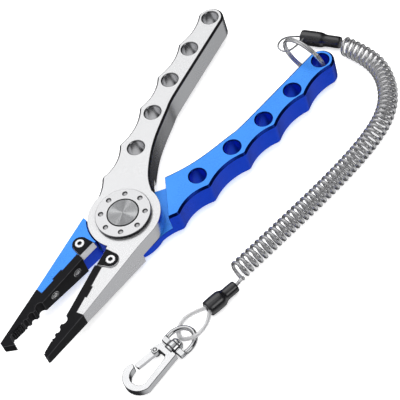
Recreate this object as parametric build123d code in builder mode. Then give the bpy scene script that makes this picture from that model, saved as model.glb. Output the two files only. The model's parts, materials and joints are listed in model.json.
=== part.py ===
# Fishing pliers with a coiled lanyard, as separate pieces, in millimetres.
# The pliers lie flat: the pivot axis is Z, the handles point along +Y and the jaws along -Y.
# Each half is drawn in its own closed position and laid down turned open by half the opening.
import os
from math import cos, pi, radians, sin, tan

from build123d import *

os.makedirs("parts", exist_ok=True)

# ---- heights of the stack, from the surface it lies on ----
open_angle = 14.5          # jaws and handles, from shut to the way it lies
half_open = open_angle / 2
under = 3.2                # the back cap holds the handles this far up
thick = 12.6               # handles
z_low = under
z_top = under + thick
z_mid = (z_low + z_top) / 2
lap_gap = 0.3
lap_back = 4.4             # plate of the blue half, behind
z_lap = z_low + lap_back   # its top
cap_high = 1.8             # front cap above the handles
cap_gap = 0.3

# ---- plan sizes ----
lap_r = 16.5               # round lap of each half
lap_room = 0.5             # room round the other half's lap
sleeve_r = 5.0
fit = 0.05                 # running fit, radial
edge = 0.9                 # chamfer of the handles
hole_r = 3.75
end_r = 6.3                # round end of a handle
crest_r = 2.6              # softened crests between the finger scallops
end_hole = (17.1, 113.4)
grip_holes = [(13.2, 33.9), (15.8, 54.1), (17.4, 73.6), (17.5, 93.2), end_hole]
plate_start = 26.4         # where the black jaw plate begins
plate_x = 3.7              # thickness of the black plate on the arm
arm_face = plate_x + 0.05  # the arm's inner face, behind the plate
arm_end = 48.9             # where the aluminium stops and the black jaw goes on
arm_tip_thick = 6.8
tip_thick = 4.4
tip_y = 76.4
mate = 0.15                # half the gap between the shut jaws
shim = 0.02                # glue line between pieces that stay together


def half_plane(side, z=0.0):
    """Plane of one half, side 1 for blue and -1 for silver, turned open by its share."""
    turn = radians(-side * half_open)
    return Plane(origin=(0, 0, z), x_dir=(cos(turn), sin(turn), 0), z_dir=(0, 0, 1))


def flip(side, points):
    return [(side * x, y) for x, y in points]


def draw_half(side):
    """Flat outline of one half with its handle at +x for side 1."""
    end_x, end_y = end_hole
    grip = [(end_x + end_r, end_y), (21.8, 104.6), (24.2, 94.4), (22.0, 84.4), (24.5, 73.7), (21.6, 63.8),
            (23.4, 54.8), (20.0, 42.2), (21.8, 32.9), (18.4, 22.6), (20.2, 14.4), (17.6, 9.4), (16.36, 2.2)]
    grip = flip(side, grip)
    round_end = flip(side, [(end_x - end_r, end_y), (end_x, end_y + end_r), (end_x + end_r, end_y)])
    inner = flip(side, [(-7.5, 14.7), (-2.4, 20.0), (2.4, 28.6), (7.2, 43.0), (9.8, 58.5),
                        (end_x - end_r, 78.0)])
    low = flip(side, [(16.36, 2.2), (11.2, -12.1), (-0.9, -16.48)])
    arm = flip(side, [(-0.9, -16.48), (-0.9, -plate_start), (-arm_face, -plate_start), (-arm_face, -arm_end),
                      (-7.2, -arm_end), (-14.4, -11.6), (-16.3, -2.6)])
    back = flip(side, [(-16.3, -2.6), (-14.6, 7.7), (-7.5, 14.7)])
    with BuildSketch() as plan:
        with BuildLine():
            for k in range(0, len(grip) - 2, 2):
                ThreePointArc(grip[k], grip[k + 1], grip[k + 2])
            ThreePointArc(*round_end)
            Spline(*inner, tangents=[(side * 0.69, 0.72), (0, 1)])
            Line(inner[-1], round_end[0])
            ThreePointArc(*low)
            Polyline(*arm)
            ThreePointArc(*back)
        make_face()
        fillet([v for v in plan.vertices() if abs(v.X) > 20 and v.Y > 12], crest_r)
    return plan.sketch


def lap_clear(side):
    """Area one half gives up so the other half's lap can turn in it."""
    with BuildSketch() as area:
        Circle(lap_r + lap_room)
        with BuildLine():
            Polyline(*flip(side, [(-2.3, 28.3), (24.1, 4.6), (24.1, -11.6), (-22, -11.6), (-22, 28.3)]),
                     close=True)
        make_face()
    return area.sketch


def side_plane(side, x=0.0):
    """Plane square across a half with its first axis along the length and its second along Z."""
    flat = half_plane(side)
    return Plane(origin=flat.from_local_coords((side * x, 0, 0)), x_dir=flat.y_dir, z_dir=flat.x_dir)


def taper_waste():
    """Wedges above and below the arm, in the plane of side_plane."""
    far = 60
    slope = (thick - arm_tip_thick) / 2 / (arm_end - 11.6)
    drop = slope * (far - 11.6)
    with BuildSketch() as wedges:
        for way, z in ((1, z_top), (-1, z_low)):
            with BuildLine():
                Polyline((-11.6, z), (-far, z - way * drop), (-far, z + way * 2), (-11.6, z + way * 2),
                         close=True)
            make_face()
    return wedges.sketch


def grip_edges(half, side):
    """Edges of both flat faces that run along the handle."""
    flat = [e for e in half.edges() if abs(e.bounding_box().size.Z) < 0.01]
    return [e for e in flat if half_plane(side).to_local_coords(e.center()).Y > 17]


cutter_screw_at = (-6.0, -22.0)
cutter_z = 12.9            # underside of the cutter plates
cutter_thick = 2.7
cutter_drill = 1.25
cutter_round = 3.5         # round end of a plate, about its screw
cutter_end = plate_start - 0.2
key_y = (-41.2, -35.9)     # small key on the back of each jaw plate
key_deep = 0.8
jaw_screws_at = [-31.4, -45.2]
jaw_screw_r = 1.25
jaw_screw_long = 6.1       # from the top of its head
jaw_drill = 3.0            # blind, so the outer wall stays whole


def cutter_outline(side, grow=0.0):
    x, y = cutter_screw_at
    with BuildSketch() as blade:
        with Locations((side * x, y)):
            Circle(cutter_round + grow)
        with BuildLine():
            Polyline(*flip(side, [(x, y + cutter_round + grow), (-mate, -17.9 + grow),
                                  (-mate + grow * 3, -cutter_end - grow), (-2.2, -cutter_end - grow),
                                  (x, y - cutter_round - grow)]), close=True)
        make_face()
    return blade.sketch


# ================= the two halves =================
blue_plan = draw_half(1)
silver_plan = draw_half(-1)
wedges = taper_waste()
z_silver = z_lap + lap_gap     # underside of the silver lap plate
rim = 0.45                     # countersink at both ends of the grip holes

with BuildPart() as blue_handle:
    with BuildSketch(half_plane(1, z_low)):
        add(blue_plan)
    extrude(amount=thick)
    chamfer(grip_edges(blue_handle, 1), edge)
    with BuildSketch(half_plane(1, z_lap)):
        add(lap_clear(1))
    extrude(amount=thick, mode=Mode.SUBTRACT)

with BuildPart() as silver_handle:
    with BuildSketch(half_plane(-1, z_low)):
        add(silver_plan)
    extrude(amount=thick)
    chamfer(grip_edges(silver_handle, -1), edge)
    with BuildSketch(half_plane(-1, z_silver)):
        add(lap_clear(-1))
    extrude(amount=-thick, mode=Mode.SUBTRACT)

for side, half in ((1, blue_handle), (-1, silver_handle)):
    x, y = cutter_screw_at
    bore = sleeve_r if side == 1 else sleeve_r + fit
    inward = Align.MAX if side == 1 else Align.MIN
    with half:
        with BuildSketch(side_plane(side)):
            add(wedges)
        extrude(amount=30, both=True, mode=Mode.SUBTRACT)
        with Locations(half_plane(side, z_mid)):
            with Locations(*flip(side, grip_holes)):
                Cylinder(hole_r, thick + 2, mode=Mode.SUBTRACT)
        for z, flare in ((z_top, Align.MAX), (z_low, Align.MIN)):
            wide, narrow = (hole_r, hole_r + rim) if flare == Align.MAX else (hole_r + rim, hole_r)
            with Locations(half_plane(side, z)):
                with Locations(*flip(side, grip_holes)):
                    Cone(wide, narrow, rim, align=(Align.CENTER, Align.CENTER, flare), mode=Mode.SUBTRACT)
        with Locations((0, 0, z_mid)):
            Cylinder(bore, thick + 2, mode=Mode.SUBTRACT)
        with BuildSketch(half_plane(side, cutter_z - shim)):
            add(cutter_outline(side, 0.1))
        extrude(amount=10, mode=Mode.SUBTRACT)
        with Locations(half_plane(side, cutter_z)):
            with Locations((side * x, y)):
                Cylinder(cutter_drill, 5.0, align=(Align.CENTER, Align.CENTER, Align.MAX), mode=Mode.SUBTRACT)
        with Locations(half_plane(side, z_mid)):
            with Locations((side * -arm_face, sum(key_y) / 2)):
                Box(2 * key_deep, key_y[1] - key_y[0] + 0.1, thick, mode=Mode.SUBTRACT)
        for screw_y in jaw_screws_at:
            with Locations(side_plane(side).offset(-3.7 if side == 1 else 3.7)):
                with Locations((screw_y, z_mid)):
                    Cylinder(jaw_screw_r, jaw_drill, align=(Align.CENTER, Align.CENTER, inward),
                             mode=Mode.SUBTRACT)

# washer seats round the pivot
washer_r = 8.0
washer_thick = 0.8
with blue_handle:
    with Locations((0, 0, z_lap)):
        Cylinder(washer_r + fit, washer_thick - lap_gap + fit, align=(Align.CENTER, Align.CENTER, Align.MAX),
                 mode=Mode.SUBTRACT)

# ================= the pivot =================
cap_r = 12.6
disc_r = 6.75
groove_r = 7.35
bolt_r = 3.0
cap_floor = 0.8            # closed bottom of the back cap, a blind nut
z_cap = z_top + cap_gap
z_face = z_top + cap_high
with BuildPart() as pivot_sleeve:
    with Locations((0, 0, z_low)):
        Cylinder(sleeve_r - shim, z_cap - z_low, align=(Align.CENTER, Align.CENTER, Align.MIN))
        Cylinder(bolt_r + shim, 40, align=(Align.CENTER, Align.CENTER, Align.MIN), mode=Mode.SUBTRACT)

with BuildPart() as lap_washer:
    with Locations((0, 0, z_lap - washer_thick + lap_gap - fit)):
        Cylinder(washer_r, washer_thick, align=(Align.CENTER, Align.CENTER, Align.MIN))
        Cylinder(sleeve_r, washer_thick, align=(Align.CENTER, Align.CENTER, Align.MIN), mode=Mode.SUBTRACT)

with BuildPart() as front_washer:
    with Locations((0, 0, z_top + fit)):
        Cylinder(cap_r - 2.0, cap_gap - fit, align=(Align.CENTER, Align.CENTER, Align.MIN))
        Cylinder(sleeve_r, cap_gap, align=(Align.CENTER, Align.CENTER, Align.MIN), mode=Mode.SUBTRACT)

dimple_ring = 10.0
dimple_r = 1.25
with BuildPart() as front_cap:
    with Locations((0, 0, z_cap)):
        Cylinder(cap_r, z_face - z_cap, align=(Align.CENTER, Align.CENTER, Align.MIN))
    fillet(front_cap.faces().sort_by(Axis.Z)[-1].edges(), 0.3)
    with Locations((0, 0, z_cap)):
        Cylinder(bolt_r + shim, 10, mode=Mode.SUBTRACT)
        with Locations((0, 0, 0.35)):
            Cylinder(groove_r, 10, align=(Align.CENTER, Align.CENTER, Align.MIN), mode=Mode.SUBTRACT)
    with Locations((0, 0, z_face)):
        with PolarLocations(dimple_ring, 8, start_angle=32):
            Cylinder(dimple_r, 0.5, align=(Align.CENTER, Align.CENTER, Align.MAX), mode=Mode.SUBTRACT)
            with Locations((0, 0, -0.5)):
                Cone(0.2, dimple_r, 0.5, align=(Align.CENTER, Align.CENTER, Align.MAX), mode=Mode.SUBTRACT)

with BuildPart() as pivot_bolt:
    with BuildSketch(Plane.XZ):
        with BuildLine():
            Polyline((0, cap_floor + 0.1), (bolt_r, cap_floor + 0.1), (bolt_r, z_cap + 0.37),
                     (disc_r, z_cap + 0.37),
                     (disc_r, z_face - 0.05), (disc_r - 0.2, z_face + 0.05), (0.6, z_face - 0.2),
                     (0, z_face - 0.2), close=True)
        make_face()
    revolve(axis=Axis.Z)

with BuildPart() as back_cap:
    Cylinder(cap_r - 0.6, z_low, align=(Align.CENTER, Align.CENTER, Align.MIN))
    chamfer(back_cap.faces().sort_by(Axis.Z)[0].edges(), 0.8)
    with Locations((0, 0, cap_floor)):
        Cylinder(bolt_r + shim, 20, align=(Align.CENTER, Align.CENTER, Align.MIN), mode=Mode.SUBTRACT)
    with PolarLocations(8.2, 2):
        Cylinder(1.2, 3.0, mode=Mode.SUBTRACT)

# ================= black jaws =================
tooth = 1.05
root_y = arm_end + 0.03     # step of the jaw head, against the arm's end
notches = [(62.5, 0.85, 0.15), (59.1, 1.45, 0.35), (54.0, 2.15, 0.6)]   # place, radius, centre off the middle
plain_end = 71.0
hook_end = 71.6


def jaw_outline(side, hooked):
    """Plate on the arm, head with scallops and teeth, and the hook when it has one."""
    tip = [(-1.7, -tip_y), (0.6, -tip_y - 0.6), (4.3, -hook_end - 1.5), (-mate, -hook_end)]
    if not hooked:
        tip = [(-2.6, -plain_end - 0.6), (-2.1, -plain_end - 1.1), (-0.9, -plain_end - 0.2),
               (-mate, -plain_end)]
    root = [(-mate, -plate_start), (-plate_x, -plate_start), (-plate_x, -root_y), (-7.3, -root_y)]
    with BuildSketch() as outline:
        with BuildLine():
            Polyline(*flip(side, root + tip), close=True)
        make_face()
        for y, r, off in notches:
            with Locations((side * (off - mate), -y)):
                Circle(r, mode=Mode.SUBTRACT)
        for k in range(7):
            with Locations((side * -mate, -64.3 - tooth * k)):
                Rectangle(0.7, 0.7, rotation=45, mode=Mode.SUBTRACT)
        with Locations((side * (-plate_x - key_deep / 2 + 0.01), sum(key_y) / 2)):
            Rectangle(key_deep - 0.02, key_y[1] - key_y[0])
    return outline.sketch


def jaw_profile():
    """Side view of a jaw: as thick as the arm at its root, thin at the tip."""
    slope = (thick - arm_tip_thick) / 2 / (arm_end - 11.6)
    start = thick / 2 - slope * (plate_start - 11.6)
    with BuildSketch() as profile:
        with BuildLine():
            Polyline((-plate_start, z_mid + start), (-root_y, z_mid + arm_tip_thick / 2),
                     (-80, z_mid + tip_thick / 2 - 0.15), (-80, z_mid - tip_thick / 2 + 0.15),
                     (-root_y, z_mid - arm_tip_thick / 2), (-plate_start, z_mid - start), close=True)
        make_face()
    return profile.sketch


side_view = jaw_profile()
screw_head_r = 2.1
with BuildPart() as hook_jaw:
    with BuildSketch(half_plane(1, z_low)):
        add(jaw_outline(1, True))
    extrude(amount=thick)
    with BuildSketch(side_plane(1)):
        add(side_view)
    extrude(amount=30, both=True, mode=Mode.INTERSECT)

with BuildPart() as plain_jaw:
    with BuildSketch(half_plane(-1, z_low)):
        add(jaw_outline(-1, False))
    extrude(amount=thick)
    with BuildSketch(side_plane(-1)):
        add(side_view)
    extrude(amount=30, both=True, mode=Mode.INTERSECT)

for side, jaw in ((1, hook_jaw), (-1, plain_jaw)):
    inward = Align.MAX if side == 1 else Align.MIN
    with jaw:
        for screw_y in jaw_screws_at:
            with Locations(side_plane(side)):
                with Locations((screw_y, z_mid)):
                    for r, deep in ((screw_head_r + shim, 1.6 + mate), (jaw_screw_r + shim, 12)):
                        Cylinder(r, deep, align=(Align.CENTER, Align.CENTER, inward), mode=Mode.SUBTRACT)

with BuildPart() as hook_jaw_screws:
    for screw_y in jaw_screws_at:
        with Locations(side_plane(1)):
            with Locations((screw_y, z_mid, -mate - 0.2)):
                Cylinder(screw_head_r, 1.4, align=(Align.CENTER, Align.CENTER, Align.MAX))
                Cylinder(jaw_screw_r - shim, jaw_screw_long, align=(Align.CENTER, Align.CENTER, Align.MAX))
                Cylinder(0.8, 0.9, align=(Align.CENTER, Align.CENTER, Align.MAX), mode=Mode.SUBTRACT)

with BuildPart() as plain_jaw_screws:
    for screw_y in jaw_screws_at:
        with Locations(side_plane(-1)):
            with Locations((screw_y, z_mid, mate + 0.2)):
                Cylinder(screw_head_r, 1.4, align=(Align.CENTER, Align.CENTER, Align.MIN))
                Cylinder(jaw_screw_r - shim, jaw_screw_long, align=(Align.CENTER, Align.CENTER, Align.MIN))
                Cylinder(0.8, 0.9, align=(Align.CENTER, Align.CENTER, Align.MIN), mode=Mode.SUBTRACT)

# ================= cutters =================
bevel_x = 1.3
with BuildPart() as blue_cutter:
    with BuildSketch(half_plane(1, cutter_z)):
        add(cutter_outline(1))
    extrude(amount=cutter_thick)

with BuildPart() as silver_cutter:
    with BuildSketch(half_plane(-1, cutter_z)):
        add(cutter_outline(-1))
    extrude(amount=cutter_thick)

cutter_head_r = 2.15
for side, blade in ((1, blue_cutter), (-1, silver_cutter)):
    x, y = cutter_screw_at
    across = Plane(origin=half_plane(side).from_local_coords((0, -10, 0)), x_dir=half_plane(side).x_dir,
                   z_dir=-half_plane(side).y_dir)
    level = across.y_dir.Z
    with blade:
        with BuildSketch(across):
            with BuildLine():
                Polyline((side * -mate, level * (cutter_z + 0.25)),
                         (side * (-mate - bevel_x), level * (cutter_z + cutter_thick)),
                         (side * 1, level * (cutter_z + cutter_thick + 1)),
                         (side * 1, level * (cutter_z + 0.25)), close=True)
            make_face()
        extrude(amount=30, mode=Mode.SUBTRACT)
        with Locations(half_plane(side, cutter_z + cutter_thick)):
            with Locations((side * x, y)):
                Cylinder(cutter_head_r + shim, 1.0, align=(Align.CENTER, Align.CENTER, Align.MAX),
                         mode=Mode.SUBTRACT)
                Cylinder(cutter_drill + shim, 8.0, mode=Mode.SUBTRACT)


def cutter_screw(side):
    x, y = cutter_screw_at
    with BuildPart() as screw:
        with Locations(half_plane(side, cutter_z + cutter_thick + 0.35)):
            with Locations((side * x, y)):
                Cylinder(cutter_head_r, 1.33, align=(Align.CENTER, Align.CENTER, Align.MAX))
        fillet(screw.faces().sort_by(Axis.Z)[-1].edges(), 0.25)
        with Locations(half_plane(side, cutter_z + cutter_thick + 0.35)):
            with Locations((side * x, y)):
                Cylinder(cutter_drill - shim, 7.4, align=(Align.CENTER, Align.CENTER, Align.MAX))
        with BuildSketch(half_plane(side, cutter_z + cutter_thick + 0.36)):
            with Locations((side * x, y)):
                RegularPolygon(1.15, 6)
        extrude(amount=-1.0, mode=Mode.SUBTRACT)
    return screw.part


blue_cutter_screw = cutter_screw(1)
silver_cutter_screw = cutter_screw(-1)

# ================= split ring =================
ring_r = 11.6
ring_wire = (1.3, 1.08)     # radial and axial size of one turn
ring_tilt = 6
ring_yaw = -6
ring_at = Vector(22.0, 110.8, 12.45)
yaw = radians(ring_yaw)
tilt = radians(ring_tilt)
ring_axis = Vector(-sin(yaw) * cos(tilt), cos(yaw) * cos(tilt), sin(tilt))
ring_plane = Plane(origin=ring_at, x_dir=(cos(yaw), sin(yaw), 0), z_dir=ring_axis)
ring_cut = Plane(origin=ring_at, x_dir=ring_plane.x_dir, z_dir=-ring_plane.y_dir)
with BuildPart() as split_ring:
    with BuildSketch(ring_cut):
        with Locations((ring_r, ring_wire[1] / 2), (ring_r, -ring_wire[1] / 2)):
            RectangleRounded(*ring_wire, 0.4)
    revolve(axis=Axis(ring_at, ring_axis))

# ================= lanyard =================
coil_d = 9.6
wire_d = 1.9
coil_z = coil_d / 2 + 0.05
coil_points = [(30.6, 129.4), (42.5, 129.0), (55.8, 123.2), (65.8, 111.2), (70.0, 96.6), (68.9, 72.9),
               (62.4, 36.5), (55.5, 3.6)]


def route_radii(points):
    """Bend radius at each inner corner, 0.45 of the shorter run over tan of half the turn."""
    radii = []
    for a, b, c in zip(points, points[1:], points[2:]):
        u = Vector(*b) - Vector(*a)
        v = Vector(*c) - Vector(*b)
        radii.append(0.45 * min(u.length, v.length) / tan(radians(u.get_angle(v) / 2)))
    return radii


coil_radii = route_radii(coil_points)
print("coil bend radii", [round(r, 1) for r in coil_radii])
with BuildPart() as coil_cord:
    with BuildLine() as coil_route:
        FilletPolyline(*[(x, y, coil_z) for x, y in coil_points], radius=coil_radii)
    with BuildSketch(coil_route.line ^ 0):
        Circle(coil_d / 2)
    sweep()
coil_length = sum(e.length for e in coil_route.edges())
print("coil length", round(coil_length, 1), "volume", round(coil_cord.part.volume),
      "section x length", round(pi * coil_d ** 2 / 4 * coil_length))


def straight_wire(start, end, d):
    with BuildPart() as wire:
        with BuildLine() as path:
            Line(start, end)
        with BuildSketch(path.line ^ 0):
            Circle(d / 2)
        sweep()
    return wire.part


def crimp_sleeve(start, end, small_r, big_r, share):
    """Shrink sleeve turned about its axis, small over its first part and big over the rest."""
    run = Vector(*end) - Vector(*start)
    length = run.length
    frame = Plane(origin=start, x_dir=(0, 0, 1), z_dir=run)
    flat = Plane(origin=start, x_dir=frame.x_dir, z_dir=-frame.y_dir)
    waist = length * share
    with BuildPart() as sleeve:
        with BuildSketch(flat):
            with BuildLine():
                Polyline((0, 0), (small_r - 0.5, 0), (small_r, 0.6), (small_r, waist - 1.2),
                         (big_r, waist + 1.2), (big_r, length - 0.8), (big_r - 0.7, length), (0, length),
                         close=True)
            make_face()
        revolve(axis=Axis(start, run))
    return sleeve.part


sleeve_big = 3.6
sleeve_z = sleeve_big + 0.1
near_big = (8.2, 126.4, sleeve_z)
near_small = (27.4, 131.2, sleeve_z)
far_small = (58.5, -1.4, sleeve_z + 0.1)
far_big = (54.3, -16.9, sleeve_z + 0.1)
near_sleeve = crimp_sleeve(near_small, near_big, 2.8, sleeve_big, 0.42)
far_sleeve = crimp_sleeve(far_small, far_big, 2.6, sleeve_big + 0.1, 0.45)
near_lead = straight_wire((30.55, 132.6, coil_z), near_small, wire_d)
far_lead = straight_wire((58.9, 2.9, coil_z), far_small, wire_d)


def bent_wire(points, d):
    with BuildPart() as wire:
        with BuildLine() as path:
            Spline(*points)
        with BuildSketch(path.line ^ 0):
            Circle(d / 2)
        sweep()
    return wire.part


near_loop_path = [(8.6, 126.2, 4.4), (6.4, 120.8, 8.8), (6.0, 114.6, 12.0), (7.9, 110.8, 13.0),
                  (10.9, 109.9, 13.0), (13.1, 112.4, 12.4), (12.3, 120.2, 8.9), (10.2, 126.4, 4.4)]
near_loop = bent_wire(near_loop_path, 0.9)
far_loop_path = [(53.4, -16.2, 3.8), (49.2, -20.4, 2.4), (47.0, -25.0, 1.25), (48.2, -29.6, 1.15),
                 (51.4, -32.4, 2.4), (54.6, -32.4, 4.6), (57.6, -30.4, 6.1), (59.0, -26.6, 6.1),
                 (58.2, -21.6, 5.2), (55.6, -16.6, 3.8)]
far_loop = bent_wire(far_loop_path, 2.1)

# ================= swivel and snap =================
snap_turn = radians(-11.5)
snap_z = 3.4
snap_at = (51.9, -38.2)


def snap_plane(z):
    return Plane(origin=(*snap_at, z), x_dir=(cos(snap_turn), sin(snap_turn), 0), z_dir=(0, 0, 1))


snap_axis_plane = Plane(origin=(*snap_at, snap_z), x_dir=snap_plane(0).x_dir, z_dir=snap_plane(0).y_dir)
stud_r = 1.4
stud_head_r = 2.8
stud_tail = 2.6            # neck each way from the middle of the yoke's bar
stud_gap = 0.15
bar_half = 1.3
bow_d = 2.2
with BuildPart() as swivel_yoke:
    with BuildLine(snap_plane(snap_z)) as bow:
        Spline((-5.4, 0.2), (-5.8, 4.6), (-3.9, 8.7), (0, 10.4), (3.9, 8.7), (5.8, 4.6), (5.4, 0.2))
    with BuildSketch(bow.line ^ 0):
        Circle(bow_d / 2)
    sweep()
    with Locations(snap_plane(snap_z)):
        Box(12.6, 2 * bar_half, 2.4)
        Cylinder(3.1, 2 * bar_half, rotation=(90, 0, 0))
    with Locations(snap_axis_plane):
        Cylinder(stud_r + fit * 2, 8, mode=Mode.SUBTRACT)

body_thick = 3.8
with BuildPart() as snap_body:
    with BuildSketch(snap_plane(snap_z - body_thick / 2)):
        with BuildLine():
            Polyline((-6.9, -17.3), (-6.5, -9.0), (-5.6, -4.6), (-4.6, -2.0), (4.3, -2.0), (6.9, -20.0))
            ThreePointArc((6.9, -20.0), (-0.4, -26.0), (-7.6, -20.6))
            ThreePointArc((-7.6, -20.6), (-7.7, -18.8), (-6.9, -17.3))
        make_face()
        with BuildLine():
            Polyline((-4.4, -19.6), (-4.9, -17.6), (-6.5, -16.9), (-12, -17.2), (-12, -7.6), (-5.9, -7.6),
                     (-2.6, -5.2), (0.9, -5.2), (1.9, -6.6), (4.1, -19.4))
            ThreePointArc((4.1, -19.4), (-0.2, -22.9), (-4.4, -19.6))
        make_face(mode=Mode.SUBTRACT)
    extrude(amount=body_thick)
    with Locations(snap_axis_plane):
        with Locations((0, 0, -bar_half - stud_gap)):
            Cylinder(2.7, 1.2, align=(Align.CENTER, Align.CENTER, Align.MAX))
        Cylinder(stud_r + shim, 2 * stud_tail + 0.1, mode=Mode.SUBTRACT)

# head inside the yoke, neck through its bar, tail in the snap
with BuildPart() as swivel_stud:
    with Locations(snap_axis_plane):
        Cylinder(stud_r, 2 * stud_tail)
        with Locations((0, 0, bar_half + stud_gap)):
            Cylinder(stud_head_r, 1.1, align=(Align.CENTER, Align.CENTER, Align.MIN))
            with Locations((0, 0, 1.1)):
                Cone(stud_head_r, 1.6, 1.1, align=(Align.CENTER, Align.CENTER, Align.MIN))

gate_pin_at = (-4.3, -6.4)
gate_thick = 1.9
gate_end = (-5.75, -16.65)
pin_r = 0.8
eye_r = 1.35
pin_x, pin_y = gate_pin_at
end_x, end_y = gate_end
with snap_body:
    with BuildSketch(snap_plane(snap_z - gate_thick / 2 - 0.2)):
        with Locations(gate_pin_at):
            Circle(eye_r + 0.3)
        with BuildLine():
            Polyline((pin_x - 3, pin_y + 1.3), (pin_x, pin_y + eye_r + 0.3), (pin_x + 3, pin_y),
                     (pin_x + 2, pin_y - 3), (pin_x - 3, pin_y - 3), close=True)
        make_face()
    extrude(amount=gate_thick + 0.4, mode=Mode.SUBTRACT)
    for way in (1, -1):
        cheek = snap_z + way * body_thick / 2
        with Locations(snap_plane(cheek)):
            with Locations(gate_pin_at):
                Cylinder(eye_r + 0.25, body_thick / 2 - gate_thick / 2 - 0.2,
                         align=(Align.CENTER, Align.CENTER, Align.MAX if way == 1 else Align.MIN))
    with Locations(snap_plane(snap_z)):
        with Locations(gate_pin_at):
            Cylinder(pin_r + shim, 10, mode=Mode.SUBTRACT)

with BuildPart() as snap_gate:
    with BuildSketch(snap_plane(snap_z - gate_thick / 2)):
        with Locations(gate_pin_at):
            Circle(eye_r)
        with BuildLine():
            Polyline((pin_x - eye_r, pin_y - 0.3), (pin_x + eye_r, pin_y + 0.3), (end_x + 1.9, end_y + 0.4),
                     (end_x + 1.2, end_y), (end_x - 0.6, end_y + 0.1), (end_x - 0.8, end_y + 1.0), close=True)
        make_face()
    extrude(amount=gate_thick)
    with Locations(snap_plane(snap_z)):
        with Locations(gate_pin_at):
            Cylinder(pin_r + fit, 10, mode=Mode.SUBTRACT)

with BuildPart() as gate_pin:
    with Locations(snap_plane(snap_z)):
        with Locations(gate_pin_at):
            Cylinder(pin_r, body_thick - 0.1)

# ================= files =================
pieces = {
    "blue_handle": blue_handle.part,
    "silver_handle": silver_handle.part,
    "pivot_sleeve": pivot_sleeve.part,
    "pivot_bolt": pivot_bolt.part,
    "front_cap": front_cap.part,
    "back_cap": back_cap.part,
    "lap_washer": lap_washer.part,
    "front_washer": front_washer.part,
    "hook_jaw": hook_jaw.part,
    "plain_jaw": plain_jaw.part,
    "hook_jaw_screws": hook_jaw_screws.part,
    "plain_jaw_screws": plain_jaw_screws.part,
    "blue_cutter": blue_cutter.part,
    "silver_cutter": silver_cutter.part,
    "blue_cutter_screw": blue_cutter_screw,
    "silver_cutter_screw": silver_cutter_screw,
    "split_ring": split_ring.part,
    "near_loop": near_loop,
    "near_sleeve": near_sleeve,
    "near_lead": near_lead,
    "coil_cord": coil_cord.part,
    "far_lead": far_lead,
    "far_sleeve": far_sleeve,
    "far_loop": far_loop,
    "swivel_yoke": swivel_yoke.part,
    "swivel_stud": swivel_stud.part,
    "snap_body": snap_body.part,
    "snap_gate": snap_gate.part,
    "gate_pin": gate_pin.part,
}
for name, piece in pieces.items():
    piece.label = name
    export_step(piece, f"parts/{name}.step")
    print(name, "solids", len(piece.solids()), "volume", round(piece.volume, 1))
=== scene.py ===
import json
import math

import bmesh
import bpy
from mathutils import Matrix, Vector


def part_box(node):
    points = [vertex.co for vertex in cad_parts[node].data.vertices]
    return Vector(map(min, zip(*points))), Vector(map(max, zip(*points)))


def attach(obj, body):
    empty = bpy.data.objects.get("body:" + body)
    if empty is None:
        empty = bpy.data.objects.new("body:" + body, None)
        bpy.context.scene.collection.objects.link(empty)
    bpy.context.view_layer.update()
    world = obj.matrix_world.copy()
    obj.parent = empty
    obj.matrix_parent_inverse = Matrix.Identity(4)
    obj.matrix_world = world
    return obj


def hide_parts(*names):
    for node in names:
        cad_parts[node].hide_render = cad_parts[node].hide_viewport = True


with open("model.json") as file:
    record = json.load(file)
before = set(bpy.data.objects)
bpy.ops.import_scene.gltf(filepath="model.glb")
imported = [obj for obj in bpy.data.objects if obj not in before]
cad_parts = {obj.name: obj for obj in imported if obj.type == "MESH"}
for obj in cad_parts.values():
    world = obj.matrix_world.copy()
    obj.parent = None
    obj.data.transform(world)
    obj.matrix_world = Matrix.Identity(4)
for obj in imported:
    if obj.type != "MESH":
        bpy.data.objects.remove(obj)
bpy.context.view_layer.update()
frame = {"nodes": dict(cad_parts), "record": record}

# %% [markdown]
# # Fishing pliers with a coiled lanyard
#
# The design comes in as a fixed frame: every machined piece is already at its real size and place.
# What is left for Blender is what a drawing doesn't hold, which is the metal's finish, the broken edges
# that catch the light, the wound cord and the shrunk sleeves. All lengths are in metres, so a small value
# called mm turns the workshop's numbers into Blender's.

mm = 0.001
joints = {joint["name"]: joint for joint in frame["record"]["behaviour"]["joints"]}

# %% [markdown]
# ## Writing shader maths as plain sums
#
# A finish is a small network of nodes. Wiring each one by hand hides the idea, so one class wraps an output
# socket and gives it the usual signs: adding two wrapped sockets adds a Math node. A second class holds the
# material, and its one method makes any other node from its type, its settings and its sockets.


# %% A socket that can be added, multiplied and compared
class Value:
    def __init__(self, tree, socket):
        self.tree = tree
        self.socket = socket

    def math(self, operation, *others):
        node = self.tree.nodes.new("ShaderNodeMath")
        node.operation = operation
        for slot, item in zip(node.inputs, others):
            if isinstance(item, Value):
                self.tree.links.new(item.socket, slot)
            else:
                slot.default_value = item
        return Value(self.tree, node.outputs[0])

    def __add__(self, other):
        return self.math("ADD", self, other)

    def __sub__(self, other):
        return self.math("SUBTRACT", self, other)

    def __rsub__(self, other):
        return self.math("SUBTRACT", other, self)

    def __mul__(self, other):
        return self.math("MULTIPLY", self, other)

    def __pow__(self, other):
        return self.math("POWER", self, other)

    __radd__ = __add__
    __rmul__ = __mul__


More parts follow.
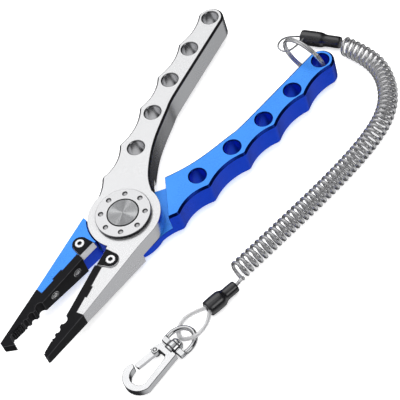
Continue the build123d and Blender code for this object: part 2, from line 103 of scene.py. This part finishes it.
# %% A finish, with one method that makes every node
class Finish:
    def __init__(self, name, **constants):
        self.material = bpy.data.materials.new(name)
        self.material.use_nodes = True
        self.tree = self.material.node_tree
        self.shader = self.tree.nodes["Principled BSDF"]
        for socket, value in constants.items():
            self.shader.inputs[socket.replace("_", " ")].default_value = value

    def node(self, kind, settings=None, sockets=None, output=0):
        node = self.tree.nodes.new("ShaderNode" + kind)
        for key, value in (settings or {}).items():
            if key == "stops":
                ramp = node.color_ramp.elements
                while len(ramp) < len(value):
                    ramp.new(1.0)
                for element, (place, colour) in zip(ramp, value):
                    element.position = place
                    element.color = (*colour, 1.0)
            else:
                setattr(node, key, value)
        for key, value in (sockets or {}).items():
            if isinstance(value, Value):
                self.tree.links.new(value.socket, node.inputs[key])
            else:
                node.inputs[key].default_value = value
        return Value(self.tree, node.outputs[output])

    def feed(self, socket, value):
        self.tree.links.new(value.socket, self.shader.inputs[socket])

    def place(self):
        return self.node("TexCoord", output="Object")

    def noise(self, grain, detail=2.0):
        """Noise whose spots are about grain metres across, from about 0.3 to 0.7."""
        sockets = {"Vector": self.place(), "Scale": 1.0 / grain, "Detail": detail}
        return self.node("TexNoise", sockets=sockets)

    def mix(self, share, first, second):
        """Colour that goes from first to second with share. A Mix node's colours are sockets 6 and 7."""
        first, second = (c if isinstance(c, Value) else (*c, 1.0) for c in (first, second))
        return self.node("Mix", {"data_type": "RGBA"}, {0: share, 6: first, 7: second}, output=2)

    def bump(self, height, depth, strength=1.0):
        """Dents and bumps up to depth metres high, where height is a value from 0 to 1."""
        sockets = {"Height": height, "Distance": depth, "Strength": strength}
        self.feed("Normal", self.node("Bump", sockets=sockets))


print("helpers ready")

# %% [markdown]
# ## Metal finishes
#
# The handles are bead blasted and anodised. Blasting leaves tiny dents, which spread the light, and the dye
# sits in a clear oxide layer, so the colour is deep but the gloss above it is white. A Principled shader that
# is partly metallic, with a fine noise as bump and a slow one in its roughness, gives that. Handling rubs the
# bloom off, so the slow noise also shifts the colour a little. Each handle also has lit and shaded copies of
# its finish, picked by which way a face looks: the blue has painted shade on its walls and a deeper painted
# shade on its rounded edges, and the silver has painted light on its walls and painted shade on its edges.


# %% Blasted and anodised aluminium
def anodised(name, light, dark, roughness, metallic, gloss):
    finish = Finish(name, Metallic=metallic, Coat_Weight=gloss, Coat_Roughness=0.2, Specular_IOR_Level=0.3)
    cloud = finish.noise(14 * mm, 3.0)
    grain = finish.noise(0.22 * mm, 2.0)
    finish.feed("Base Color", finish.mix(cloud * 0.6 + grain * 0.4, dark, light))
    finish.feed("Roughness", roughness + (cloud - 0.5) * 0.12 + (grain - 0.5) * 0.1)
    finish.bump(grain, 0.02 * mm, 0.5)
    return finish.material


blue = anodised("blue_anodised", (0.07, 0.36, 1.0), (0.035, 0.25, 0.95), 0.28, 0.45, 0.3)
# The wall and edge copies of the blue are darker: painted shade.
blue_wall_painted_shade = anodised("blue_wall_painted_shade", (0.001, 0.09, 0.95), (0.0005, 0.045, 0.68), 0.3, 0.75, 0.03)
blue_edge_painted_shade = anodised("blue_edge_painted_shade", (0.002, 0.03, 0.32), (0.001, 0.015, 0.2), 0.25, 0.9, 0.05)
silver = anodised("silver_aluminium", (0.93, 0.93, 0.935), (0.85, 0.855, 0.865), 0.25, 0.82, 0.0)
# The wall copy of the silver is brighter, which is painted light, and the edge copy greyer, which is painted
# shade.
silver_wall_painted_light = anodised("silver_wall_painted_light", (0.97, 0.97, 0.98), (0.88, 0.885, 0.90), 0.25, 1.0, 0.0)
silver_edge_painted_shade = anodised("silver_edge_painted_shade", (0.55, 0.55, 0.56), (0.4, 0.4, 0.41), 0.25, 1.0, 0.0)
handle_finishes = (blue, blue_wall_painted_shade, blue_edge_painted_shade, silver, silver_wall_painted_light, silver_edge_painted_shade)
print("handle finishes:", ", ".join(material.name for material in handle_finishes))

# %% [markdown]
# The jaws and cutters are hard steel with a black oxide skin. It is thin, so it wears grey where edges rub.
# Two versions of one finish show that: the plain skin, and a greyer one that only the rounded edges take.


# %% Black oxide with worn edges
def black_oxide(name, dark, light):
    finish = Finish(name, Specular_IOR_Level=0.13)
    cloud = finish.noise(5 * mm, 4.0)
    grain = finish.noise(0.18 * mm, 3.0)
    finish.feed("Base Color", finish.mix(cloud * 0.5 + grain * 0.5, dark, light))
    finish.feed("Roughness", 0.34 + cloud * 0.16 + grain * 0.08)
    finish.bump(grain * 0.7 + cloud * 0.3, 0.03 * mm, 0.6)
    return finish.material


black = black_oxide("black_oxide", (0.003, 0.003, 0.0035), (0.012, 0.012, 0.014))
worn_black = black_oxide("worn_black", (0.02, 0.02, 0.022), (0.09, 0.09, 0.095))
print("black finishes:", black.name, worn_black.name)

# %% [markdown]
# The front cap is turned and polished. Its groove, its side and the walls of its eight dimples get painted
# shade: its finish compares each point's height with the cap's face, and the colour falls to a dark grey a
# few tenths of a millimetre below it. The flat floors of the dimples get a painted highlight instead, a
# lighter grey that is less metallic, and they are told by their depth and by the ring they lie on. The slots
# of the cutter screws get the same painted shade, so their heads share this finish.


# %% Turned steel with painted shade in its recesses
def recessed(name, face, metallic, ring=0.0, ring_width=0.0):
    """Bright at the height of face, with painted shade below it. Holes on the ring of that radius get a
    painted highlight on their floors.
    """
    finish = Finish(name, Metallic=metallic)
    place = finish.place()
    x, y, z = (finish.node("SeparateXYZ", sockets={0: place}, output=axis) for axis in "XYZ")
    depth = (face - z) * (1 / mm)
    # Share of painted shade: none down to 0.06 mm below the face, full from 0.25 mm below it.
    dark = finish.node("MapRange", sockets={"Value": depth, "From Min": 0.06, "From Max": 0.25})
    radius = (x * x + y * y) ** 0.5
    on_ring = radius.math("COMPARE", radius, ring, ring_width / 2)
    # Dimple floors on the ring, deeper than about half a millimetre, get a painted highlight.
    deep = finish.node("MapRange", sockets={"Value": depth, "From Min": 0.52, "From Max": 0.8})
    painted_floor_highlight = on_ring * deep
    grain = finish.noise(0.3 * mm, 3.0)
    bright = finish.mix(grain, (0.88, 0.88, 0.89), (0.97, 0.97, 0.98))
    below = finish.mix(painted_floor_highlight, (0.05, 0.05, 0.055), (0.5, 0.5, 0.51))
    finish.feed("Base Color", finish.mix(dark, bright, below))
    finish.feed("Roughness", 0.2 + grain * 0.1)
    finish.feed("Metallic", metallic - painted_floor_highlight * 0.7)
    finish.bump(grain, 0.006 * mm, 0.6)
    return finish.material


cap_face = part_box("front_cap")[1].z
screw_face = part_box("blue_cutter_screw")[1].z
dimple_ring = 10.0 * mm
dimple_width = 2.6 * mm
cap_steel = recessed("turned_cap", cap_face, 1.0, dimple_ring, dimple_width)
screw_head = recessed("cutter_screw_head", screw_face, 0.6)
print("the cap's face is", round(cap_face / mm, 2), "mm up, the cutter screws'", round(screw_face / mm, 2))


# %% Polished and plain steel
def polished(name, colour, roughness, wear=0.06, metallic=1.0):
    finish = Finish(name, Metallic=metallic)
    cloud = finish.noise(3 * mm, 4.0)
    fine = finish.noise(0.15 * mm, 2.0)
    finish.feed("Base Color", finish.mix(cloud, tuple(0.85 * c for c in colour), colour))
    finish.feed("Roughness", roughness + cloud * wear)
    finish.bump(cloud * 0.6 + fine * 0.4, 0.015 * mm, 0.5)
    return finish.material


chrome = polished("nickel_plate", (0.97, 0.975, 0.985), 0.06, 0.06, 0.75)
bright_nickel = polished("bright_nickel", (0.97, 0.975, 0.985), 0.05)
# Near-black copy for the snap's rounded edges: a painted reflection of a dark room.
nickel_painted_dark_edge = polished("shaded_nickel", (0.1, 0.1, 0.105), 0.2, 0.1)
ground_steel = polished("ground_edge", (0.9, 0.9, 0.92), 0.3, 0.1, 0.3)
screw_steel = polished("screw_steel", (0.86, 0.86, 0.87), 0.2, 0.12, 0.5)
washer_steel = polished("ground_steel", (0.62, 0.62, 0.63), 0.3, 0.1)
satin_nickel = polished("satin_nickel", (0.96, 0.965, 0.97), 0.06, 0.08, 0.85)
disc_steel = polished("turned_disc", (0.78, 0.79, 0.80), 0.12, 0.05)
bare_steels = (chrome, bright_nickel, nickel_painted_dark_edge, ground_steel, screw_steel, washer_steel, satin_nickel,
               disc_steel)
print("bare steels:", ", ".join(material.name for material in bare_steels))

# %% [markdown]
# ## Plastics of the lanyard
#
# The sleeves are shrunk on with heat: a glossy black plastic that follows the crimp under it in soft lumps.
# The cord is a steel core in clear vinyl. Real glass-clear vinyl bends the light too much to show its core as
# calmly as the eye sees it, so the jacket is a thin, partly see-through skin with a hard gloss over a steel
# core of its own.


# %% Shrunk plastic, clear vinyl and the wire inside
def shrunk_plastic():
    finish = Finish("shrunk_plastic", Coat_Weight=1.0, Coat_IOR=1.75, Coat_Roughness=0.2)
    lumps = finish.noise(3.5 * mm)
    finish.feed("Base Color", finish.mix(lumps, (0.004, 0.004, 0.005), (0.014, 0.014, 0.016)))
    finish.feed("Roughness", 0.2 + lumps * 0.16)
    finish.bump(lumps, 0.25 * mm, 0.6)
    return finish.material


def clear_vinyl(name, clouding):
    finish = Finish(name, Coat_Weight=1.0, Coat_Roughness=0.03, Roughness=0.12)
    streaks = finish.noise(1.2 * mm, 2.0)
    finish.feed("Base Color", finish.mix(streaks, (0.80, 0.80, 0.81), (0.95, 0.95, 0.96)))
    finish.feed("Alpha", clouding + streaks * 0.16)
    return finish.material


def stranded_steel():
    finish = Finish("stranded_steel", Metallic=1.0)
    strands = finish.noise(0.35 * mm, 1.0)
    finish.feed("Base Color", finish.mix(strands, (0.82, 0.82, 0.83), (1.0, 1.0, 1.0)))
    finish.feed("Roughness", 0.06 + strands * 0.14)
    finish.bump(strands, 0.004 * mm, 0.5)
    return finish.material


sleeve_black = shrunk_plastic()
vinyl = clear_vinyl("clear_vinyl", 0.03)
cloudy_vinyl = clear_vinyl("clouded_vinyl", 0.3)
wire_steel = stranded_steel()
print("lanyard finishes:", sleeve_black.name, vinyl.name, cloudy_vinyl.name, wire_steel.name)

# %% [markdown]
# ## Machined pieces with broken edges
#
# No machined edge is knife sharp: a deburring pass leaves a tiny round that shows as a bright line. The
# frame's meshes have none, and they are never changed, so each piece that shows is copied. The copy's
# triangles are merged back into flat faces, and a Bevel modifier rounds the edges between them.
#
# A piece has up to three finishes, by which way a face looks. The first is for flats, which look straight up
# or down. The second is for the rounded edges, and on some pieces for slanting faces too. The third is for
# walls, which stand upright. On the cutters only the ground slopes take the second. On the handles the second
# and third are lit and shaded copies of the first, which carry painted light and painted shade, and on the
# snap the second is a painted reflection of a dark room.

# %% Copy a machined piece and round its edges
same_point = 0.002 * mm       # closer than this, two corners of the mesh are one
wall_level = 0.3              # a face is a wall when its normal's Z is under this
slope_level = 0.8             # and slants when it is under this


def softened(node, body, finishes, width, slopes=False):
    """finishes are for flats, rounded edges and walls; slopes gives slanting faces the second one."""
    edge_finish, wall_finish = (*finishes[1:], None, None)[:2]
    mesh = bpy.data.meshes.new(node + "_finished")
    bm = bmesh.new()
    bm.from_mesh(frame["nodes"][node].data)
    bmesh.ops.remove_doubles(bm, verts=bm.verts, dist=same_point)
    bmesh.ops.dissolve_limit(bm, angle_limit=math.radians(0.1), verts=bm.verts, edges=bm.edges)
    for face in bm.faces:
        face.smooth = True
        level = abs(face.normal.z)
        if wall_finish and level < wall_level:
            face.material_index = 2
        elif slopes and level < slope_level:
            face.material_index = 1
    bm.to_mesh(mesh)
    bm.free()
    piece = bpy.data.objects.new(node + "_finished", mesh)
    bpy.context.scene.collection.objects.link(piece)
    for item in finishes:
        mesh.materials.append(item)
    bevel = piece.modifiers.new("broken edge", "BEVEL")
    bevel.width = width
    bevel.segments = 2
    bevel.use_clamp_overlap = node == "snap_gate"     # the gate's notch is too small for its full width
    bevel.limit_method = "ANGLE"
    bevel.angle_limit = math.radians(28)
    own_edges = edge_finish and (wall_finish or not slopes)
    bevel.material = 1 if own_edges else -1     # -1 takes the finish of the faces beside the edge
    weighted = piece.modifiers.new("flat faces stay flat", "WEIGHTED_NORMAL")
    weighted.mode = "FACE_AREA"
    weighted.weight = 60
    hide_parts(node)
    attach(piece, body)
    return piece


# %% Finish every machined piece
# node, body, slot, finishes, width of the rounded edge in mm, whether slanting faces take the second finish
machined = [
    ("blue_handle", "blue_half", "blue_anodised", (blue, blue_edge_painted_shade, blue_wall_painted_shade), 0.12, True),
    ("silver_handle", "silver_half", "bare_aluminium", (silver, silver_edge_painted_shade, silver_wall_painted_light), 0.12, True),
    ("hook_jaw", "blue_half", "black_steel", (black, worn_black), 0.16, False),
    ("plain_jaw", "silver_half", "black_steel", (black, worn_black), 0.16, False),
    ("blue_cutter", "blue_half", "black_steel", (black, ground_steel), 0.08, True),
    ("silver_cutter", "silver_half", "black_steel", (black, ground_steel), 0.08, True),
    ("hook_jaw_screws", "blue_half", "screw_steel", (black, screw_steel), 0.38, False),
    ("plain_jaw_screws", "silver_half", "screw_steel", (black, screw_steel), 0.38, False),
    ("back_cap", "blue_half", "cap_steel", (cap_steel,), 0.1, False),
    # The snap's rounded edges take the near-black copy, a painted reflection of a dark room.
    ("snap_body", "snap", "snap_steel", (chrome, nickel_painted_dark_edge, bright_nickel), 0.2, True),
    ("snap_gate", "gate", "snap_steel", (chrome, nickel_painted_dark_edge, bright_nickel), 0.3, True),
    ("gate_pin", "snap", "snap_steel", (chrome, nickel_painted_dark_edge), 0.25, False),
    ("swivel_yoke", "yoke", "snap_steel", (bright_nickel,), 0.3, False),
    ("swivel_stud", "snap", "snap_steel", (bright_nickel,), 0.25, False),
]
for node, body, slot_name, finishes, width, slopes in machined:
    piece = softened(node, body, finishes, width * mm, slopes)
    print(piece.name, len(piece.data.polygons), "faces before its bevel")

# %% Pieces that only need their finish
plain = {
    "front_cap": cap_steel, "pivot_sleeve": washer_steel, "lap_washer": washer_steel,
    "front_washer": black,
    "blue_cutter_screw": screw_head, "silver_cutter_screw": screw_head,
}
for node, finish in plain.items():
    mesh = frame["nodes"][node].data
    mesh.materials.clear()
    mesh.materials.append(finish)
print("finished in place:", ", ".join(plain))

# %% [markdown]
# ## Turned disc of the pivot bolt
#
# The lathe leaves fine rings on the bolt's head. No single ring is seen, yet together they pull every
# highlight out into rays across the face. A bump texture this fine would be lost between two samples of a
# picture, so the rings are real: a profile that rises and falls every third of a millimetre, spun round.

# %% Spin the disc
shank_radius = 3 * mm
disc_radius = 6.75 * mm
disc_thickness = 1.2 * mm
rim_step = 0.15 * mm
ring_pitch = 0.32 * mm
ring_depth = 0.04 * mm
bolt_low, bolt_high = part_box("pivot_bolt")
rings = int(disc_radius / ring_pitch)
outline = [(0, bolt_low.z), (shank_radius, bolt_low.z), (shank_radius, bolt_high.z - disc_thickness),
           (disc_radius, bolt_high.z - disc_thickness), (disc_radius, bolt_high.z - rim_step)]
for k in range(2 * rings, -1, -1):
    outline.append((k * ring_pitch / 2, bolt_high.z - (k % 2) * ring_depth))
bm = bmesh.new()
profile = [bm.verts.new((radius, 0, height)) for radius, height in outline]
edges = [bm.edges.new(pair) for pair in zip(profile, profile[1:])]
bmesh.ops.spin(bm, geom=profile + edges, cent=(0, 0, 0), axis=(0, 0, 1), angle=2 * math.pi, steps=96,
               use_merge=True)
bmesh.ops.remove_doubles(bm, verts=bm.verts, dist=same_point)
bmesh.ops.recalc_face_normals(bm, faces=bm.faces)
mesh = bpy.data.meshes.new("turned_pivot_bolt")
bm.to_mesh(mesh)
bm.free()
pivot_bolt = bpy.data.objects.new("turned_pivot_bolt", mesh)
bpy.context.scene.collection.objects.link(pivot_bolt)
mesh.materials.append(disc_steel)
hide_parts("pivot_bolt")
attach(pivot_bolt, "blue_half")
print("turned disc has", rings, "rings and", len(mesh.polygons), "faces")

# %% [markdown]
# ## Split ring
#
# A split ring is a flat wire wound twice round. The two turns lie flat on each other, and at one place the
# wire steps from the lower turn to the upper, with both ends beside that step. Spinning a small section does
# this in three goes: once round flat, a short step along the axis, and once more round.

# %% Wind the split ring
ring_joint = joints["ring_turn"]
ring_centre = Vector(ring_joint["pos_m"])
ring_axis = Vector(ring_joint["axis"]).normalized()
ring_radius = 11.6 * mm
wire_across = 1.3 * mm
wire_high = 1.08 * mm
wire_sides = 12
turn_steps = 72
step_steps = 14
step_angle = math.radians(40)
step_at = Vector((0.35, 0, -1)).normalized()     # the step lies low, where the ring rests

bm = bmesh.new()
bmesh.ops.create_circle(bm, segments=wire_sides, radius=0.5)
bmesh.ops.scale(bm, vec=(wire_across, wire_high, 1), verts=bm.verts)
outward = (step_at - ring_axis * step_at.dot(ring_axis)).normalized()
turn = Matrix((outward, ring_axis, outward.cross(ring_axis))).transposed().to_4x4()
start = ring_centre + outward * ring_radius - ring_axis * wire_high / 2
bmesh.ops.transform(bm, matrix=Matrix.Translation(start) @ turn, verts=bm.verts)
bmesh.ops.rotate(bm, cent=ring_centre, matrix=Matrix.Rotation(step_angle / 2, 3, ring_axis), verts=bm.verts)
flat_turn = (2 * math.pi - step_angle, turn_steps, 0)
step_up = (step_angle, step_steps, wire_high)
last = list(bm.verts) + list(bm.edges)
for angle, steps, rise in (flat_turn, step_up, flat_turn):
    spun = bmesh.ops.spin(bm, geom=last, cent=ring_centre, axis=ring_axis, angle=angle, steps=steps,
                          dvec=ring_axis * rise / steps)
    last = spun["geom_last"]
bmesh.ops.holes_fill(bm, edges=bm.edges, sides=wire_sides)
bmesh.ops.recalc_face_normals(bm, faces=bm.faces)
for face in bm.faces:
    face.smooth = True
mesh = bpy.data.meshes.new("wound_split_ring")
bm.to_mesh(mesh)
bm.free()
split_ring = bpy.data.objects.new("wound_split_ring", mesh)
bpy.context.scene.collection.objects.link(split_ring)
mesh.materials.append(satin_nickel)
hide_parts("split_ring")
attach(split_ring, "key_ring")
print("split ring faces:", len(mesh.polygons))

# %% [markdown]
# ## The coiled cord
#
# The cord is 1.9 mm wire wound into a spring 9.6 mm across, with 54 turns. Modelling starts from the line
# through the middle of the coil, which lies in one wide bow beside the pliers. Its points are the control
# points of a smooth NURBS curve. The turns are then laid round the points read back from that curve: at each,
# one arm points level to the left of the way the coil runs and the other straight up.

# %% The line through the middle of the coil
coil_height = 4.85 * mm
coil_points = [(30.6, 129.4), (42.5, 129.0), (55.8, 123.2), (65.8, 111.2), (70.0, 96.6), (68.9, 72.9),
               (62.4, 36.5), (55.5, 3.6)]


def nurbs_line(name, points, resolution):
    """A curve object of one open NURBS spline that starts and ends at its outer points."""
    curve = bpy.data.curves.new(name, "CURVE")
    curve.dimensions = "3D"
    spline = curve.splines.new("NURBS")
    spline.points.add(len(points) - 1)
    for point, place in zip(spline.points, points):
        point.co = (*place, 1.0)
    spline.order_u = 3
    spline.use_endpoint_u = True
    spline.resolution_u = resolution
    curve.use_fill_caps = True
    line = bpy.data.objects.new(name, curve)
    bpy.context.scene.collection.objects.link(line)
    return line


def read_points(line):
    """The points along a curve that has no bevel."""
    depsgraph = bpy.context.evaluated_depsgraph_get()
    mesh = bpy.data.meshes.new_from_object(line.evaluated_get(depsgraph))
    places = [vertex.co.copy() for vertex in mesh.vertices]
    bpy.data.meshes.remove(mesh)
    return places


def even_points(places, count):
    """count + 1 points at even distances along a run of places, each with its direction."""
    lengths = [0.0]
    for a, b in zip(places, places[1:]):
        lengths.append(lengths[-1] + (b - a).length)
    found = []
    k = 0
    for i in range(count + 1):
        target = lengths[-1] * i / count
        while k < len(places) - 2 and lengths[k + 1] < target:
            k += 1
        share = (target - lengths[k]) / (lengths[k + 1] - lengths[k])
        way = (places[k + 1] - places[k]).normalized()
        found.append((places[k].lerp(places[k + 1], share), way))
    return found, lengths[-1]


def smooth_places(points, resolution):
    """The points along the smooth line that these control points make."""
    line = nurbs_line("measured", points, resolution)
    places = read_points(line)
    bpy.data.objects.remove(line)
    return places


route_places = smooth_places([(x * mm, y * mm, coil_height) for x, y in coil_points], 40)
print("the coil's middle line has", len(route_places), "points")

# %% Lay the turns round it
wire_d = 1.9 * mm
coil_across = 9.6 * mm
turn_radius = (coil_across - wire_d) / 2
turns = 54
per_turn = 18
lead_share = 0.45             # how far along a lead the bend into the first turn starts
centres, route_length = even_points(route_places, turns * per_turn)
near_exit = Vector((27.4, 131.2, 3.7)) * mm
far_exit = Vector((58.5, -1.4, 3.8)) * mm
up = Vector((0, 0, 1))
helix = []
for i, (centre, way) in enumerate(centres):
    left = up.cross(way).normalized()
    angle = 2 * math.pi * i / per_turn
    helix.append(centre + turn_radius * (left * math.cos(angle) + up * math.sin(angle)))
near_lead = [near_exit, near_exit.lerp(helix[0], lead_share)]
far_lead = [far_exit.lerp(helix[-1], lead_share), far_exit]
cord_points = near_lead + helix + far_lead
print("coil runs", round(route_length / mm, 1), "mm with", turns, "turns")


# %% The jacket and its core
def wire(name, points, thickness, finish, resolution):
    line = nurbs_line(name, points, resolution)
    line.data.bevel_depth = thickness / 2
    line.data.bevel_resolution = 3
    line.data.materials.append(finish)
    return line


coil_smoothness = 2
jacket = wire("coiled_cord", cord_points, wire_d, vinyl, coil_smoothness)
core = wire("coiled_core", cord_points, 1.5 * mm, wire_steel, coil_smoothness)
cord_length = even_points(smooth_places(cord_points, coil_smoothness), 1)[1]
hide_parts("coil_cord", "near_lead", "far_lead")
for piece in (jacket, core):
    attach(piece, "blue_half")
print("the wire of the coil is", round(cord_length, 3), "m long")

# %% [markdown]
# ## The two wire loops
#
# At each end the wire is folded into a loop and crimped. The near loop is thin bare cable through the split
# ring. The far loop is stouter, with a clear jacket that has gone cloudy over a stranded core, and holds the
# swivel's yoke. Both are short NURBS curves, made like the coil's wire.

# %% Near loop and far loop
near_loop_points = [(8.6, 126.2, 4.4), (6.1, 121.4, 8.6), (5.3, 115.0, 12.2), (7.2, 109.9, 13.2),
                    (11.4, 109.1, 13.0), (13.9, 112.2, 12.5), (12.6, 120.4, 8.9), (10.2, 126.4, 4.4)]
far_loop_points = [(53.4, -16.2, 3.8), (49.2, -19.9, 2.4), (46.2, -25.0, 1.25), (47.6, -30.4, 1.15),
                   (51.2, -33.2, 2.2), (55.0, -33.2, 4.7), (58.6, -30.8, 6.3), (59.6, -26.4, 6.2),
                   (58.5, -21.4, 5.2), (55.6, -16.6, 3.8)]
near_places = [Vector(point) * mm for point in near_loop_points]
far_places = [Vector(point) * mm for point in far_loop_points]
loop_smoothness = 12
near_loop = wire("near_wire_loop", near_places, 0.9 * mm, satin_nickel, loop_smoothness)
far_loop = wire("far_wire_loop", far_places, 2.1 * mm, cloudy_vinyl, loop_smoothness)
far_core = wire("far_loop_core", far_places, 1.3 * mm, wire_steel, loop_smoothness)
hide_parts("near_loop")
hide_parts("far_loop")
for piece, slot_name in ((near_loop, "loop_steel"), (far_loop, "loop_jacket"), (far_core, "loop_jacket")):
    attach(piece, "blue_half")

near_length = even_points(smooth_places(near_places, loop_smoothness), 1)[1]
far_length = even_points(smooth_places(far_places, loop_smoothness), 1)[1]
print("loops are", round(near_length / mm), "and", round(far_length / mm), "mm long")

# %% [markdown]
# ## Shrunk sleeves
#
# Heat-shrink tube follows what it covers: a narrow part over the wire, a fuller one over the metal crimp, and
# soft rims where it was cut. Its outline is a handful of points spun round the sleeve's own axis, and a
# Subdivision Surface modifier turns the steps into one flowing skin.


# %% Spin a sleeve
def shrunk_sleeve(name, node, start, end, outline):
    """outline is (share of the length, radius in mm) from start to end."""
    axis = (end - start).normalized()
    length = (end - start).length
    side = up.cross(axis).normalized()
    bm = bmesh.new()
    ring = [bm.verts.new(start + axis * along * length + side * radius * mm) for along, radius in outline]
    edges = [bm.edges.new(pair) for pair in zip(ring, ring[1:])]
    bmesh.ops.spin(bm, geom=ring + edges, cent=start, axis=axis, angle=2 * math.pi, steps=20, use_merge=True)
    bmesh.ops.remove_doubles(bm, verts=bm.verts, dist=0.01 * mm)
    bmesh.ops.recalc_face_normals(bm, faces=bm.faces)
    for face in bm.faces:
        face.smooth = True
    mesh = bpy.data.meshes.new(name)
    bm.to_mesh(mesh)
    bm.free()
    sleeve = bpy.data.objects.new(name, mesh)
    bpy.context.scene.collection.objects.link(sleeve)
    mesh.materials.append(sleeve_black)
    smooth = sleeve.modifiers.new("smooth", "SUBSURF")
    smooth.levels = 2
    smooth.render_levels = 2
    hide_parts(node)
    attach(sleeve, "blue_half")
    print(name, "is", round(length / mm, 1), "mm long")
    return sleeve


near_end = Vector((8.2, 126.4, 3.7)) * mm
far_end = Vector((54.3, -16.9, 3.8)) * mm
near_outline = [(0, 0), (0, 1.6), (0.01, 2.7), (0.05, 2.95), (0.36, 2.8), (0.42, 3.1), (0.47, 3.6),
                (0.55, 3.7), (0.8, 3.65), (0.96, 3.6), (0.995, 3.4), (1, 2.2), (0.985, 0.8), (0.985, 0)]
far_outline = [(0, 0), (0, 1.5), (0.01, 2.5), (0.05, 2.75), (0.38, 2.6), (0.44, 2.9), (0.5, 3.6),
               (0.58, 3.8), (0.8, 3.75), (0.95, 3.7), (0.995, 3.5), (1, 2.4), (0.985, 0.8), (0.985, 0)]
near_sleeve = shrunk_sleeve("near_shrunk_sleeve", "near_sleeve", near_exit, near_end, near_outline)
far_sleeve = shrunk_sleeve("far_shrunk_sleeve", "far_sleeve", far_exit, far_end, far_outline)

print("cords declared:", jacket.name, near_loop.name, far_loop.name)

# %% [markdown]
# ## Studio
#
# Polished metal shows its surroundings more than itself, and white paper needs far more light than metal
# does. So the two are lit apart. A broad soft light from above reaches the matt surfaces and the floor only,
# and is left out of reflections, as the floor is. The floor also glows a little by itself, like paper on a
# light table, so that shadows on it are faint. What the metal mirrors is one soft panel where the flat fronts
# see it, a narrow one at the side, and a dim room.

# %% Floor
bm = bmesh.new()
bmesh.ops.create_grid(bm, x_segments=1, y_segments=1, size=3.0)
mesh = bpy.data.meshes.new("floor")
bm.to_mesh(mesh)
bm.free()
floor = bpy.data.objects.new("floor", mesh)
bpy.context.scene.collection.objects.link(floor)
paper = Finish("white_paper", Roughness=0.9, Emission_Color=(1, 1, 1, 1), Emission_Strength=0.55)
paper.feed("Base Color", paper.mix(paper.noise(0.4, 2.0), (0.90, 0.90, 0.90), (0.93, 0.93, 0.93)))
mesh.materials.append(paper.material)
floor.visible_glossy = False
print("floor with", paper.material.name)


# %% Lights
aim = Vector((0.01, 0.03, 0))


def soft_light(name, place, width, height, brightness, mirrored=True):
    """A rectangular lamp aimed at the tool, with brightness as its surface's radiance."""
    light = bpy.data.lights.new(name, "AREA")
    light.shape = "RECTANGLE"
    light.size = width
    light.size_y = height
    light.energy = brightness * math.pi * width * height
    lamp = bpy.data.objects.new(name, light)
    bpy.context.scene.collection.objects.link(lamp)
    lamp.location = place
    lamp.rotation_euler = (aim - Vector(place)).to_track_quat("-Z", "Y").to_euler()
    lamp.visible_glossy = mirrored
    print(name, "has", round(light.energy, 2), "W")


soft_light("paper_wash", (0.0, 0.0, 1.6), 2.8, 2.8, 1.9, mirrored=False)
soft_light("front_panel", (-0.53, 0.43, 0.88), 0.9, 0.9, 0.7)
soft_light("side_panel", (0.83, 0.02, 0.55), 0.4, 0.4, 1.3)

# %% [markdown]
# The room is what a mirror finish sees past the lamps. Its lower half goes from dark to light along X, which
# shades the handles' walls from one end to the other. Its upper half is dark up to near the top and light
# there. One side of it is lighter too, so that the flats aren't black when seen from behind.


# %% The room
class Surround(Finish):
    """The world's own tree, so that the same methods work on it."""

    def __init__(self, name):
        self.world = bpy.data.worlds.new(name)
        self.world.use_nodes = True
        self.tree = self.world.node_tree
        self.shader = self.tree.nodes["Background"]


room = Surround("room")
sky = room.node("TexCoord", output="Generated")
sky_x, sky_y, sky_z = (room.node("SeparateXYZ", sockets={0: sky}, output=axis) for axis in "XYZ")
floor_stops = [(0.0, (0.012, 0.012, 0.014)), (0.5, (0.025, 0.025, 0.027)), (0.575, (0.07, 0.07, 0.072)),
               (0.685, (0.38, 0.385, 0.39)), (0.78, (0.52, 0.52, 0.53)), (1.0, (0.34, 0.345, 0.35))]
below = room.node("ValToRGB", {"stops": floor_stops}, {"Fac": sky_x * 0.5 + 0.5})
above_stops = [(0.0, (0.02, 0.02, 0.022)), (0.7, (0.012, 0.012, 0.013)), (0.9, (0.16, 0.16, 0.165)),
               (1.0, (0.6, 0.6, 0.61))]
overhead = room.node("ValToRGB", {"stops": above_stops}, {"Fac": sky_z})
level_way = sky_x * 0.8 + sky_y * 0.6
far_side = room.node("MapRange", sockets={"Value": level_way, "From Min": 0.1, "From Max": -0.4})
overhead = room.mix(far_side * 0.5, overhead, (0.5, 0.5, 0.51))
lower = room.node("MapRange", sockets={"Value": sky_z, "From Min": -0.35, "From Max": -0.05})
room.feed("Color", room.mix(lower, below, overhead))
bpy.context.scene.world = room.world
print("room with", len(room.tree.nodes), "nodes")

# %% [markdown]
# ## Camera
#
# A long lens from over the jaws' right shoulder. Its three directions are written out as a matrix: right, up
# and backwards.

# %% Camera
lens = bpy.data.cameras.new("camera")
lens.lens = 126
lens.sensor_width = 36
lens.clip_start = 0.01
camera = bpy.data.objects.new("camera", lens)
bpy.context.scene.collection.objects.link(camera)
right = Vector((0.794, 0.567, -0.219)).normalized()
back = Vector((0.483, -0.368, 0.795)).normalized()
above = back.cross(right).normalized()
right = above.cross(back)
pose = Matrix((right, above, back)).transposed().to_4x4()
camera.matrix_world = Matrix.Translation(Vector((0.3172, -0.2, 0.495))) @ pose
bpy.context.scene.camera = camera
bpy.context.scene.view_settings.view_transform = "Standard"
print("camera", round(camera.matrix_world.translation.length, 2), "m away, with a", lens.lens, "mm lens")
